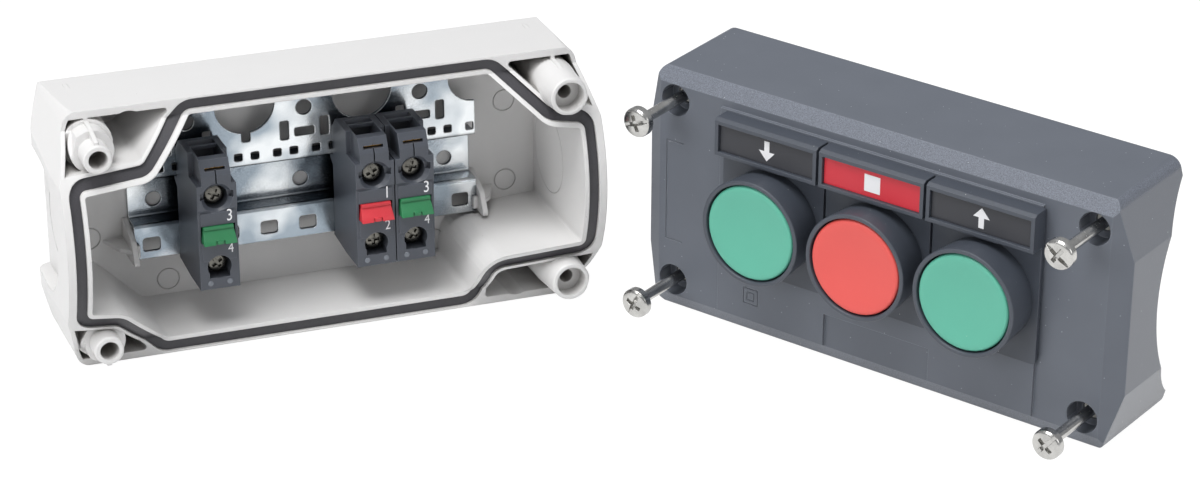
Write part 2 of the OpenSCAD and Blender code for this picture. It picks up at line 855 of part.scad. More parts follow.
module terminal_screws(x) {
    color("silver")
        stand_base()
            for (y = [well_high_y, -well_low_y])
                translate([x, y, 0])
                    difference() {
                        union() {
                            translate([0, 0, -well_d])
                                cylinder(r = terminal_head_r, h = terminal_head_t);
                            translate([0, 0, air - wire_back])
                                cylinder(r = terminal_shank_r, h = wire_back - air - well_d + over);
                        }
                        for (turn = [0, 90])
                            translate([0, 0, terminal_head_t - well_d])
                                rotate([0, 0, turn])
                                    cube([2 * terminal_head_r * (1 - turn / 180), driver_slot_w,
                                          2 * driver_slot_d], center = true);
                    }
}

// Plunger head with a sloped nose, and its stem
module plunger(x, tint) {
    color(tint)
        stand_base()
            translate([x, 0, 0])
                union() {
                    rotate([90, 0, 90])
                        linear_extrude(plunger_w, center = true)
                            polygon([[-plunger_low, -plunger_rest_z], [-plunger_high, -plunger_rest_z],
                                     [-plunger_high, block_front + plunger_step],
                                     [-plunger_high - plunger_step, block_front + plunger_step],
                                     [-plunger_high - plunger_step, block_front + plunger_step / 2],
                                     [-plunger_nose_y, plunger_nose - plunger_nose_back],
                                     [-plunger_low, plunger_nose]]);
                    translate([-plunger_stem_w / 2, -(plunger_low + plunger_high + plunger_stem_h) / 2,
                               -plunger_stem_end])
                        cube([plunger_stem_w, plunger_stem_h, plunger_stem_end - plunger_rest_z + over]);
                }
}

// Bridge that the plunger's stem carries
module contact_bridge(x) {
    color("peru")
        stand_base()
            translate([x, 0, 0])
                difference() {
                    translate([-bridge_w / 2 - plunger_stem_w / 2, bridge_end_air - chamber_low,
                               -bridge_z - bridge_t])
                        cube([bridge_w + plunger_stem_w, chamber_low + chamber_high - 2 * bridge_end_air,
                              bridge_t]);
                    translate([-plunger_stem_w / 2, -(plunger_low + plunger_high + plunger_stem_h) / 2,
                               -bridge_z - bridge_t - over])
                        cube([plunger_stem_w, plunger_stem_h, bridge_t + 2 * over]);
                }
}

module plunger_spring(x) {
    color("silver")
        stand_base()
            translate([x, -(plunger_low + plunger_high) / 2, -chamber_back])
                difference() {
                    cylinder(r = spring_r, h = chamber_back - plunger_stem_end);
                    translate([0, 0, -over])
                        cylinder(r = spring_hole_r, h = chamber_back - plunger_stem_end + 2 * over);
                }
}

// Profile of the cover across its width, with the chamfers of the front
function cover_side() = [
    [-half_w, -cover_d - dome_rise], [half_w, -cover_d - dome_rise], [half_w, -cover_d],
    [half_w - cover_draft, -side_chamfer_d], [half_w - side_chamfer_w, 0],
    [side_chamfer_w - half_w, 0], [cover_draft - half_w, -side_chamfer_d], [-half_w, -cover_d]];

function cover_end() = [
    [-body_l / 2, -cover_d - dome_rise], [body_l / 2, -cover_d - dome_rise],
    [body_l / 2, -end_chamfer_d], [body_l / 2 - end_chamfer_w, 0],
    [end_chamfer_w - body_l / 2, 0], [-body_l / 2, -end_chamfer_d]];

module cover_block() {
    intersection() {
        translate([0, 0, -cover_d]) linear_extrude(cover_d) plan(0);
        rotate([90, 0, 90])
            linear_extrude(2 * body_l, center = true) polygon(cover_side());
        rotate([90, 0, 0])
            linear_extrude(2 * body_w, center = true) polygon(cover_end());
    }
}

// Raised panel under the legend holders, with a pocket below the middle button
module front_panel() {
    difference() {
        translate([-panel_left, -panel_low, -over]) cube([panel_left + panel_right,
            panel_low + panel_high, over + panel_t]);
        translate([button_x - pitch / 2, -panel_low - over, 0])
            cube([pitch, panel_low - panel_pocket_top + over, panel_t + over]);
    }
}

module enclosure_cover() {
    color("slategray")
        stand_cover()
            difference() {
                union() {
                    difference() {
                        union() {
                            cover_block();
                            front_panel();
                        }
                        translate([0, 0, -cover_d - over])
                            linear_extrude(cover_d + over - front_t) plan(cover_wall);
                        translate([0, 0, -cover_d]) under_rim(0);
                    }
                    for (sx = [-1, 1], sy = [-1, 1])
                        translate([sx * screw_x, sy * screw_y, post_high(sx) + air - cover_d])
                            cylinder(r = tube_r, h = cover_d - post_high(sx) - air - front_t / 2);
                }
                for (sx = [-1, 1], sy = [-1, 1])
                    translate([sx * screw_x, sy * screw_y, 0]) {
                        translate([0, 0, -sink_d]) cylinder(r = sink_r, h = sink_d + over);
                        translate([0, 0, -cover_d]) cylinder(r = tube_bore_r, h = cover_d);
                    }
                for (i = [-1:1])
                    translate([button_x + i * pitch, button_y, -front_t - over])
                        cylinder(r = panel_hole_r, h = front_t + panel_t + 2 * over);
                name_field();
                translate([-mark_square_x, -mark_square_y, panel_t - field_cut]) {
                    square_line(mark_square_w);
                    square_line(mark_square_inner);
                }
            }
}

// Engraved outline of a square of side w
module square_line(w) {
    linear_extrude(field_cut + over)
        difference() {
            square(w, center = true);
            square(w - 2 * field_line, center = true);
        }
}

// Engraved outline of the bare name field, open on its right side
module name_field() {
    translate([-field_x, -field_h / 2, -field_cut]) {
        cube([field_line, field_h, field_cut + over]);
        for (y = [0, field_h - field_line])
            translate([0, y, 0]) cube([field_w, field_line, field_cut + over]);
    }
}

// Rings that keep the screws in the cover
module screw_retainers() {
    color("ivory")
        stand_cover()
            for (sx = [-1, 1], sy = [-1, 1])
                translate([sx * screw_x, sy * screw_y, -sink_d - over - retainer_t])
                    difference() {
                        cylinder(r = tube_bore_r, h = retainer_t);
                        translate([0, 0, -over])
                            cylinder(r = shank_r + slide_air, h = retainer_t + 2 * over);
                    }
}

module cover_screw(sx, sy) {
    color("silver")
        stand_cover()
            translate([sx * screw_x, sy * screw_y, screw_out])
                difference() {
                    union() {
                        rotate_extrude()
                            polygon(rounded([[0, 0], [0, -head_t], [head_r, -head_t],
                                             [head_r, -head_edge], [head_r - head_edge, 0]],
                                            [0, 0, head_edge / 4, head_edge / 2, head_edge]));
                        translate([0, 0, -head_t - shank_l - thread_l / 2])
                            cylinder(r = shank_r, h = shank_l + thread_l / 2 + head_t / 2);
                        translate([0, 0, -head_t - shank_l - thread_l + thread_tip])
                            cylinder(r = screw_d / 2, h = thread_l - thread_tip);
                        translate([0, 0, -head_t - shank_l - thread_l])
                            cylinder(r1 = screw_d / 4, r2 = screw_d / 2, h = thread_tip);
                    }
                    for (turn = [0, 90])
                        rotate([0, 0, turn])
                            cube([cross_l, cross_w, 2 * cross_d], center = true);
                    for (turn = [45, 135])
                        rotate([0, 0, turn])
                            cube([cross_l * 3 / 4, cross_w / 2, cross_d], center = true);
                    cube([slot_w, 2 * head_r + over, cross_d], center = true);
                }
}

// Moves to the centre of button i, counted from the middle
module at_button(i) {
    stand_cover()
        translate([button_x + i * pitch, button_y, 0])
            children();
}

module bezel(i) {
    inner = bezel_d / 2 - bezel_wall;
    seat = panel_t + holder_t;
    color("darkslategray")
        at_button(i)
            rotate_extrude()
                polygon([[stem_r + slide_air, -bezel_shank_end], [bezel_shank_r, -bezel_shank_end],
                         [bezel_shank_r, seat], [bezel_root_d / 2, seat],
                         [bezel_d / 2, bezel_top - bezel_wall / 4],
                         [bezel_d / 2 - bezel_wall / 4, bezel_top],
                         [inner + bezel_wall / 4, bezel_top], [inner, bezel_top - bezel_wall / 4],
                         [inner, bezel_floor], [bezel_spring_r, bezel_floor],
                         [bezel_spring_r, -bezel_spring_end], [stem_r + slide_air, -bezel_spring_end]]);
}

// Cap with a shallow dish, on its stem
module button_cap(i, tint) {
    face = bezel_top - cap_face;
    color(tint)
        at_button(i)
            difference() {
                rotate_extrude()
                    polygon([[0, -stem_end], [stem_r, -stem_end], [stem_r, face - cap_t],
                             [cap_d / 2, face - cap_t], [cap_d / 2, face - cap_edge],
                             [cap_d / 2 - cap_edge, face], [0, face]]);
                translate([0, 0, face - cap_edge + cap_dish_r]) sphere(cap_dish_r, $fn = fine_fn);
            }
}

module button_spring(i) {
    foot = -bezel_spring_end;
    tall = bezel_top - cap_face - cap_t - foot;
    color("silver")
        at_button(i)
            translate([0, 0, foot])
                difference() {
                    cylinder(r = cap_spring_out, h = tall);
                    translate([0, 0, -over]) cylinder(r = cap_spring_in, h = tall + 2 * over);
                }
}

// Sealing ring in the back of the holder
module button_seal(i) {
    color("black")
        at_button(i)
            translate([0, 0, panel_t])
                difference() {
                    cylinder(r = seal_ring_out, h = seal_ring_t);
                    translate([0, 0, -over]) cylinder(r = seal_ring_in, h = seal_ring_t + 2 * over);
                }
}

module fixing_nut(i) {
    color("gray")
        at_button(i)
            translate([0, 0, -front_t - nut_t])
                difference() {
                    cylinder(r = nut_r, h = nut_t);
                    translate([0, 0, -over]) cylinder(r = bezel_shank_r, h = nut_t + 2 * over);
                    for (turn = [0:60:300])
                        rotate([0, 0, turn])
                            translate([nut_r, 0, nut_t / 2])
                                cube([2 * nut_flat_d, nut_flat_w, nut_t + over], center = true);
                }
}

// Base plate under the bezel with the frame for the label over it
module legend_holder(i) {
    y_low = holder_low + button_y;
    frame_h = frame_high - frame_low;
    color("darkslategray")
        at_button(i)
            difference() {
                union() {
                    translate([0, (holder_high - button_y - y_low) / 2, panel_t])
                        linear_extrude(holder_t)
                            polygon(round_box([holder_w, holder_high - button_y + y_low],
                                              holder_corner_r));
                    translate([-holder_w / 2, 0, 0])
                        rotate([90, 0, 90])
                            linear_extrude(holder_w)
                                polygon([[frame_low - button_y, panel_t],
                                         [holder_high - button_y, panel_t],
                                         [holder_high - button_y, frame_front - frame_edge],
                                         [frame_high - button_y, frame_front],
                                         [frame_low - button_y, frame_front]]);
                    translate([-thumb_w / 2, frame_low - button_y - thumb_t, panel_t])
                        cube([thumb_w, 2 * thumb_t, frame_front - thumb_t - panel_t]);
                }
                translate([0, 0, -over]) cylinder(r = bezel_shank_r + slide_air, h = holder_t + 2 * over);
                translate([0, 0, panel_t - over])
                    cylinder(r = seal_ring_out + slide_air, h = seal_ring_t + over);
                translate([0, 0, panel_t + holder_t])
                    cylinder(r1 = bezel_root_d / 2 + slide_air, h = frame_front,
                             r2 = bezel_root_d / 2 + slide_air
                                  + frame_front * (bezel_d - bezel_root_d)
                                    / (bezel_top - panel_t - holder_t) / 2);
                translate([frame_edge - holder_w / 2, frame_low - button_y + frame_edge,
                           frame_front - label_low - label_t])
                    cube([holder_w - 2 * frame_edge, frame_h - 2 * frame_edge, frame_front]);
            }
}

module legend_label(i, tint) {
    frame_h = frame_high - frame_low;
    color(tint)
        at_button(i)
            translate([frame_edge + label_air - holder_w / 2, frame_low - button_y + frame_edge + label_air,
                       frame_front - label_low - label_t])
                cube([holder_w - 2 * frame_edge - 2 * label_air,
                      frame_h - 2 * frame_edge - 2 * label_air, label_t]);
}

enclosure_base();
base_gasket();
mounting_plate();
contact_block(block_1_x);  // contact_block_1
contact_block(block_2_x);  // contact_block_2
contact_block(block_3_x);  // contact_block_3
terminal_screws(block_1_x);  // terminal_screws_1
terminal_screws(block_2_x);  // terminal_screws_2
terminal_screws(block_3_x);  // terminal_screws_3
terminal_clamps(block_1_x, false);  // terminal_clamps_1
terminal_clamps(block_2_x, true);  // terminal_clamps_2
terminal_clamps(block_3_x, false);  // terminal_clamps_3
plunger(block_1_x, "seagreen");  // plunger_1
plunger(block_2_x, "crimson");  // plunger_2
plunger(block_3_x, "seagreen");  // plunger_3
contact_bridge(block_1_x);  // contact_bridge_1
contact_bridge(block_2_x);  // contact_bridge_2
contact_bridge(block_3_x);  // contact_bridge_3
plunger_spring(block_1_x);  // plunger_spring_1
plunger_spring(block_2_x);  // plunger_spring_2
plunger_spring(block_3_x);  // plunger_spring_3
enclosure_cover();
screw_retainers();
cover_screw(-1, 1);  // cover_screw_1
cover_screw(-1, -1);  // cover_screw_2
cover_screw(1, 1);  // cover_screw_3
cover_screw(1, -1);  // cover_screw_4
bezel(-1);  // bezel_1
bezel(0);  // bezel_2
bezel(1);  // bezel_3
button_cap(-1, "mediumseagreen");  // button_cap_1
button_cap(0, "tomato");  // button_cap_2
button_cap(1, "mediumseagreen");  // button_cap_3
button_spring(-1);  // button_spring_1
button_spring(0);  // button_spring_2
button_spring(1);  // button_spring_3
button_seal(-1);  // button_seal_1
button_seal(0);  // button_seal_2
button_seal(1);  // button_seal_3
fixing_nut(-1);  // fixing_nut_1
fixing_nut(0);  // fixing_nut_2
fixing_nut(1);  // fixing_nut_3
legend_holder(-1);  // legend_holder_1
legend_holder(0);  // legend_holder_2
legend_holder(1);  // legend_holder_3
legend_label(-1, "darkslategray");  // legend_label_1
legend_label(0, "crimson");  // legend_label_2
legend_label(1, "darkslategray");  // legend_label_3
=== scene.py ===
import json
import math

import bmesh
import bpy
from mathutils import Matrix, Vector


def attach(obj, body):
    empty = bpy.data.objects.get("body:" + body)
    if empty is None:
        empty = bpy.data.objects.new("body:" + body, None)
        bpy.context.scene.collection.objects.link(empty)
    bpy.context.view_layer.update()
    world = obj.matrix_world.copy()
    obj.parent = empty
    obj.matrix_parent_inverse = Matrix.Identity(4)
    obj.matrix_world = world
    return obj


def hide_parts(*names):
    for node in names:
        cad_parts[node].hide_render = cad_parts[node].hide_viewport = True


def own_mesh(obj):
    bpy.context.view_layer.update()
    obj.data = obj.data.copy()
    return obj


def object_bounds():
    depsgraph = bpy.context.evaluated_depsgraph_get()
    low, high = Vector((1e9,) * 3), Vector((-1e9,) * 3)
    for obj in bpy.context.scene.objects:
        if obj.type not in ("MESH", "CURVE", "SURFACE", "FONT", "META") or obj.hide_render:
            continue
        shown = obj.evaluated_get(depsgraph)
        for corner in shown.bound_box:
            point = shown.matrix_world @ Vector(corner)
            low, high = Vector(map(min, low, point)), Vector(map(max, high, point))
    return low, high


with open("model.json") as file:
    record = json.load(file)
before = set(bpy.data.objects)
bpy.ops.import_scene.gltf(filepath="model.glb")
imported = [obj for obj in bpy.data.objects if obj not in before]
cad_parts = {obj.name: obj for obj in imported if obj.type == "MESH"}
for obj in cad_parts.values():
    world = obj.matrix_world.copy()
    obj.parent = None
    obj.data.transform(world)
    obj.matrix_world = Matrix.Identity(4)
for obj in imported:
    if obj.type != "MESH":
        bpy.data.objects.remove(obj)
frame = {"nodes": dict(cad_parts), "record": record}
cadLow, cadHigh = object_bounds()
scene = bpy.context.scene
nodes = frame["nodes"]
mm = 0.001

# Both halves stand on a long wall: x runs along the length, y up, z out of the opening or the front
box = {"width": 68, "baseDepth": 28.8, "baseDraft": 1.5, "coverDepth": 30.7, "coverDraft": 0.4,
       "chamferDepth": 2.3, "coverTurn": -56.6, "coverX": 145.7, "coverY": -65.5}


def moved(x, y, z):
    return Matrix.Translation((x, y, z))


def turned(angle, axis):
    return Matrix.Rotation(math.radians(angle), 4, axis)


baseLean = math.degrees(math.atan2(box["baseDraft"], box["baseDepth"]))
coverLean = math.degrees(math.atan2(box["coverDraft"], box["coverDepth"] - box["chamferDepth"]))
toMetres = Matrix.Scale(mm, 4)
baseFrame = toMetres @ turned(90 - baseLean, "X") @ moved(0, (box["width"] - box["baseDraft"]) / 2,
                                                         box["baseDepth"] / 2)
coverFrame = (toMetres @ moved(box["coverX"], box["coverY"], 0) @ turned(box["coverTurn"], "Z")
              @ turned(90 + coverLean, "X") @ moved(0, box["width"] / 2, box["coverDepth"]))


def axisOf(matrix, axis):
    return (matrix.to_3x3() @ Vector(axis)).normalized()


print("frame loaded")

# Camera at the photograph's place
view = {"place": (-0.24341, -0.85651, 0.45329), "right": (0.93825, -0.34573, 0.01273),
        "up": (0.14122, 0.41632, 0.89818), "lens": 115.3, "sensor": 36}
cameraData = bpy.data.cameras.new("camera")
cameraData.lens = view["lens"]
cameraData.sensor_width = view["sensor"]
camera = bpy.data.objects.new("camera", cameraData)
scene.collection.objects.link(camera)
rightAxis = Vector(view["right"]).normalized()
upAxis = Vector(view["up"])
upAxis = (upAxis - rightAxis * upAxis.dot(rightAxis)).normalized()
camera.matrix_world = (Matrix.Translation(view["place"])
                       @ Matrix((rightAxis, upAxis, rightAxis.cross(upAxis))).transposed().to_4x4())
scene.camera = camera
scene.view_settings.view_transform = "Standard"
print("camera placed")

# Materials: sizes and depths in millimetres, colours as they look
mottle = {"size": 9, "low": 0.3, "high": 0.7, "share": 0.35}
# reach and strength of the painted shade in corners and gaps
paintedShade = {"reach": 8, "low": 0.05, "high": 0.4, "samples": 4}
# edge thresholds of the painted edge highlight, and the samples of the rounded edges
roundingAndHighlight = {"flat": 0.99, "sharp": 0.85, "samples": 6}
speck = {"coreShare": 0.6}  # solid middle of each speck of dust
brushed = {"zoneTimes": 5, "zoneLow": 0.35, "zoneHigh": 0.65, "fineLow": 0.3, "fineHigh": 0.7,
           "smoothest": 0.8, "roughest": 1.25}


def link(tree, source, target):
    tree.links.new(source, target)


def node(tree, kind, **values):
    made = tree.nodes.new(kind)
    for key, value in values.items():
        if hasattr(made, key):
            setattr(made, key, value)
        else:
            made.inputs[key].default_value = value
    return made


def linear(colour):
    return tuple((c / 12.92 if c <= 0.04045 else ((c + 0.055) / 1.055) ** 2.4)
                 for c in (v / 255 for v in colour)) + (1,)


def newMaterial(name):
    material = bpy.data.materials.new(name)
    material.use_nodes = True
    tree = material.node_tree
    shader = tree.nodes["Principled BSDF"]
    place = node(tree, "ShaderNodeTexCoord").outputs["Object"]
    return material, tree, shader, place


def mixColour(tree, factor, first, second):
    mix = node(tree, "ShaderNodeMix", data_type="RGBA")
    link(tree, factor, mix.inputs[0])
    for value, socket in ((first, mix.inputs[6]), (second, mix.inputs[7])):
        if isinstance(value, tuple):
            socket.default_value = value
        else:
            link(tree, value, socket)
    return mix.outputs[2]


def ranged(tree, value, low, high, toLow=0.0, toHigh=1.0):
    made = node(tree, "ShaderNodeMapRange")
    made.inputs[1].default_value = low
    made.inputs[2].default_value = high
    made.inputs[3].default_value = toLow
    made.inputs[4].default_value = toHigh
    link(tree, value, made.inputs[0])
    return made.outputs[0]


def noise(tree, place, size, detail=3.0, roughness=0.5):
    made = node(tree, "ShaderNodeTexNoise")
    made.inputs["Scale"].default_value = 1 / (size * mm)
    made.inputs["Detail"].default_value = detail
    made.inputs["Roughness"].default_value = roughness
    link(tree, place, made.inputs["Vector"])
    return made.outputs["Fac"]


def dust(tree, place, spacing, size):  # scattered specks with a soft edge
    cells = node(tree, "ShaderNodeTexVoronoi")
    cells.inputs["Scale"].default_value = 1 / (spacing * mm)
    link(tree, place, cells.inputs["Vector"])
    return ranged(tree, cells.outputs["Distance"], size / spacing, size / spacing * speck["coreShare"])


def combined(tree, operation, first, second):
    made = node(tree, "ShaderNodeMath", operation=operation)
    link(tree, first, made.inputs[0])
    link(tree, second, made.inputs[1])
    return made.outputs[0]


def roundedNormal(tree, radius):
    made = node(tree, "ShaderNodeBevel", samples=roundingAndHighlight["samples"])
    made.inputs["Radius"].default_value = radius * mm
    return made.outputs["Normal"]


def openness(tree, reach):  # 0 deep in corners and gaps, 1 in the open; the mask of painted shade
    made = node(tree, "ShaderNodeAmbientOcclusion", samples=paintedShade["samples"])
    made.inputs["Distance"].default_value = reach * mm
    return made.outputs["AO"]


def edges(tree, radius):  # 1 along edges, the mask of a painted highlight
    dot = node(tree, "ShaderNodeVectorMath", operation="DOT_PRODUCT")
    link(tree, roundedNormal(tree, radius), dot.inputs[0])
    link(tree, node(tree, "ShaderNodeNewGeometry").outputs["Normal"], dot.inputs[1])
    return ranged(tree, dot.outputs["Value"], roundingAndHighlight["flat"], roundingAndHighlight["sharp"])


def bump(tree, height, depth, normal=None):
    made = node(tree, "ShaderNodeBump")
    made.inputs["Distance"].default_value = depth * mm
    made.inputs["Strength"].default_value = 1.0
    link(tree, height, made.inputs["Height"])
    if normal:
        link(tree, normal, made.inputs["Normal"])
    return made.outputs["Normal"]


def plastic(name, colour, roughness, grain=0.35, grainDepth=0.01, edge=0.0, change=0.05,
            dustSpacing=0.0, dustSize=0.1, dustColour=(225, 225, 222), edgeHighlightColour=None, paintedShadeColour=None):
    material, tree, shader, place = newMaterial(name)
    base = linear(colour)
    dark = tuple(c * (1 - change) for c in base[:3]) + (1,)
    light = tuple(min(1, c * (1 + change)) for c in base[:3]) + (1,)
    colourOut = mixColour(tree, noise(tree, place, mottle["size"]), dark, light)
    fine = noise(tree, place, grain, 2.0)
    specks = ranged(tree, fine, mottle["low"], mottle["high"], 0, mottle["share"])
    colourOut = mixColour(tree, specks, colourOut, light)
    if dustSpacing:
        colourOut = mixColour(tree, dust(tree, place, dustSpacing, dustSize), colourOut, linear(dustColour))
    # painted highlight: a lighter colour along the edges
    if edgeHighlightColour:
        colourOut = mixColour(tree, edges(tree, edge), colourOut, linear(edgeHighlightColour))
    # painted shade: colour darkened in corners and gaps
    if paintedShadeColour:
        depth = ranged(tree, openness(tree, paintedShade["reach"]), paintedShade["low"], paintedShade["high"], 1, 0)
        colourOut = mixColour(tree, depth, colourOut, linear(paintedShadeColour))
    link(tree, colourOut, shader.inputs["Base Color"])
    shader.inputs["Roughness"].default_value = roughness
    normal = roundedNormal(tree, edge) if edge else None
    link(tree, bump(tree, fine, grainDepth, normal), shader.inputs["Normal"])
    return material


def metal(name, colour, roughness, grain=0.8, change=0.18, grainDepth=0.004, edge=0.0):
    material, tree, shader, place = newMaterial(name)
    base = linear(colour)
    dark = tuple(c * (1 - change) for c in base[:3]) + (1,)
    coarse = noise(tree, place, grain * brushed["zoneTimes"], 4.0)
    fine = noise(tree, place, grain)
    zones = ranged(tree, coarse, brushed["zoneLow"], brushed["zoneHigh"])
    link(tree, mixColour(tree, zones, dark, base), shader.inputs["Base Color"])
    gloss = ranged(tree, fine, brushed["fineLow"], brushed["fineHigh"],
                   roughness * brushed["smoothest"], roughness * brushed["roughest"])
    link(tree, gloss, shader.inputs["Roughness"])
    shader.inputs["Metallic"].default_value = 1.0
    normal = roundedNormal(tree, edge) if edge else None
    link(tree, bump(tree, fine, grainDepth, normal), shader.inputs["Normal"])
    return material


# zinc colours: bright and dull make painted reflection zones, deep is painted shade, rim is a painted
# highlight
zinc = {"bright": (236, 240, 242), "dull": (158, 170, 180), "deep": (50, 60, 74), "rim": (250, 251, 252),
        "zoneSize": 13, "zoneLow": 0.4, "zoneHigh": 0.6, "zoneDetail": 2.0, "zoneRough": 0.4,
        "grainSize": 0.3, "grainLow": 0.3, "grainHigh": 0.7, "grainDepth": 0.01, "grainRough": 0.6,
        "waveDepth": 0.8, "edge": 0.4, "rimEdge": 0.35, "reach": 18, "speckle": 0.15, "openLow": 0.22,
        "openHigh": 0.66, "smooth": 0.15, "rough": 0.25}


def zincPlate():  # slow waves in the steel; bright and dull zones at random as painted reflection, darker and speckled where the blocks and walls stand close as painted shade, painted highlight along the rims
    material, tree, shader, place = newMaterial("zincPlate")
    zones = noise(tree, place, zinc["zoneSize"], zinc["zoneDetail"], zinc["zoneRough"])
    fine = noise(tree, place, zinc["grainSize"], roughness=zinc["grainRough"])
    # painted reflection: bright and dull zones at random
    bright = ranged(tree, zones, zinc["zoneLow"], zinc["zoneHigh"])
    colourOut = mixColour(tree, bright, linear(zinc["dull"]), linear(zinc["bright"]))
    grain = zinc["grainLow"], zinc["grainHigh"]
    # painted shade where blocks and walls stand close, speckled at its edge
    speckle = ranged(tree, fine, *grain, -zinc["speckle"], zinc["speckle"])
    near = combined(tree, "ADD", openness(tree, zinc["reach"]), speckle)
    near = ranged(tree, near, zinc["openLow"], zinc["openHigh"], 1, 0)
    colourOut = mixColour(tree, near, colourOut, linear(zinc["deep"]))
    # painted highlight along the rims
    colourOut = mixColour(tree, edges(tree, zinc["rimEdge"]), colourOut, linear(zinc["rim"]))
    link(tree, colourOut, shader.inputs["Base Color"])
    link(tree, ranged(tree, fine, *grain, zinc["smooth"], zinc["rough"]), shader.inputs["Roughness"])
    shader.inputs["Metallic"].default_value = 1.0
    waves = bump(tree, zones, zinc["waveDepth"], roundedNormal(tree, zinc["edge"]))
    link(tree, bump(tree, fine, zinc["grainDepth"], waves), shader.inputs["Normal"])
    return material


# the end colour is a painted sheen on the end walls; the edge colour is a painted highlight
shell = {"base": (92, 97, 106), "light": (100, 105, 114), "end": (112, 116, 124),
         "edgeHighlightColour": (124, 129, 138), "grainDark": (92, 97, 106), "grainLight": (122, 127, 138),
         "zoneSize": 14, "grainSize": 0.24, "grainDepth": 0.035, "grainLow": 0.35, "grainHigh": 0.65,
         "fineSize": 0.3, "fineDepth": 0.006, "fineDetail": 2.0, "edge": 0.4, "dustSpacing": 2.6,
         "dustSize": 0.13, "dustColour": (190, 192, 194), "rough": 0.46, "endRough": 0.12}
# How far a wall faces up or along where the chamfer's grain and the ends' gloss and painted sheen begin and
# are full
facing = {"chamfer": (0.25, 0.4), "top": (0.97, 0.8), "end": (0.9, 0.98)}


def coverPlastic():  # coarser and lighter on the long chamfers, glossier and lighter on the end walls (painted sheen), with a painted highlight along the edges
    material, tree, shader, place = newMaterial("coverPlastic")
    geometry = node(tree, "ShaderNodeNewGeometry")

    def along(axis):
        dot = node(tree, "ShaderNodeVectorMath", operation="DOT_PRODUCT")
        link(tree, geometry.outputs["Normal"], dot.inputs[0])
        dot.inputs[1].default_value = axisOf(coverFrame, axis)
        absolute = node(tree, "ShaderNodeMath", operation="ABSOLUTE")
        link(tree, dot.outputs["Value"], absolute.inputs[0])
        return absolute.outputs[0]
    upright = along((0, 1, 0))
    chamfer = combined(tree, "MULTIPLY", ranged(tree, upright, *facing["chamfer"]),
                       ranged(tree, upright, *facing["top"]))
    ends = ranged(tree, along((1, 0, 0)), *facing["end"])
    zones = noise(tree, place, shell["zoneSize"])
    colourOut = mixColour(tree, zones, linear(shell["base"]), linear(shell["light"]))
    # painted sheen: the end walls lighter
    colourOut = mixColour(tree, ends, colourOut, linear(shell["end"]))
    grain = noise(tree, place, shell["grainSize"], shell["fineDetail"])
    grainShare = ranged(tree, grain, shell["grainLow"], shell["grainHigh"])
    grainColour = mixColour(tree, grainShare, linear(shell["grainDark"]), linear(shell["grainLight"]))
    colourOut = mixColour(tree, chamfer, colourOut, grainColour)
    specks = dust(tree, place, shell["dustSpacing"], shell["dustSize"])
    colourOut = mixColour(tree, specks, colourOut, linear(shell["dustColour"]))
    # painted highlight along the edges
    colourOut = mixColour(tree, edges(tree, shell["edge"]), colourOut, linear(shell["edgeHighlightColour"]))
    link(tree, colourOut, shader.inputs["Base Color"])
    link(tree, ranged(tree, ends, 0, 1, shell["rough"], shell["endRough"]), shader.inputs["Roughness"])
    coarse = bump(tree, combined(tree, "MULTIPLY", grain, chamfer), shell["grainDepth"],
                  roundedNormal(tree, shell["edge"]))
    fine = noise(tree, place, shell["fineSize"], shell["fineDetail"])
    link(tree, bump(tree, fine, shell["fineDepth"], coarse), shader.inputs["Normal"])
    return material


finishes = {
    "light_grey_plastic": plastic("shellPlastic", (221, 220, 219), 0.42, grain=0.5, grainDepth=0.004,
                                  edge=0.4, change=0.015, dustSpacing=9, dustSize=0.12,
                                  dustColour=(120, 112, 100), paintedShadeColour=(158, 155, 151)),
    "black_rubber": plastic("sealRubber", (60, 59, 63), 0.42, grain=0.5, grainDepth=0.08, change=0.35),
    "zinc_steel": zincPlate(),
    "block_plastic": plastic("blockPlastic", (70, 74, 82), 0.42, grain=0.3, grainDepth=0.008, edge=0.25,
                             change=0.08, edgeHighlightColour=(98, 103, 112), paintedShadeColour=(40, 42, 47)),
    "zinc_screws": metal("screwSteel", (206, 205, 202), 0.22, grain=0.6, change=0.2, edge=0.15),
    "brass": metal("brass", (196, 152, 84), 0.3, grain=0.8, change=0.25, edge=0.15),
    "plunger_green": plastic("plungerGreen", (40, 118, 74), 0.42, grain=0.4, grainDepth=0.01, edge=0.2,
                             change=0.08),
    "plunger_red": plastic("plungerRed", (202, 50, 60), 0.42, grain=0.4, grainDepth=0.01, edge=0.2,
                           change=0.08),
    "spring_steel": metal("springSteel", (176, 178, 180), 0.3, grain=0.5, change=0.2),
    "cover_plastic": coverPlastic(),
    "retainer_plastic": plastic("retainerPlastic", (222, 220, 212), 0.5, grain=0.3, grainDepth=0.004),
    "bezel_plastic": plastic("bezelPlastic", (68, 73, 82), 0.42, grain=0.3, grainDepth=0.02, edge=0.25,
                             change=0.1, dustSpacing=3.2, dustSize=0.1, edgeHighlightColour=(92, 97, 106)),
    "cap_green": plastic("capGreen", (91, 176, 152), 0.4, grain=0.35, grainDepth=0.006, change=0.03,
                         dustSpacing=5, dustSize=0.1),
    "cap_red": plastic("capRed", (224, 86, 80), 0.4, grain=0.35, grainDepth=0.006, change=0.03,
                       dustSpacing=4, dustSize=0.1),
    "nut_plastic": plastic("nutPlastic", (70, 72, 76), 0.5, grain=0.3, grainDepth=0.01, edge=0.25),
    "label_red": plastic("labelRed", (202, 44, 58), 0.45, grain=0.3, grainDepth=0.004, change=0.03,
                         dustSpacing=4, dustSize=0.1),
    "label_black": plastic("labelBlack", (54, 55, 60), 0.5, grain=0.3, grainDepth=0.004, change=0.04),
}
printWhite = plastic("printWhite", (232, 232, 234), 0.5, grain=0.3, grainDepth=0.002, change=0.02)
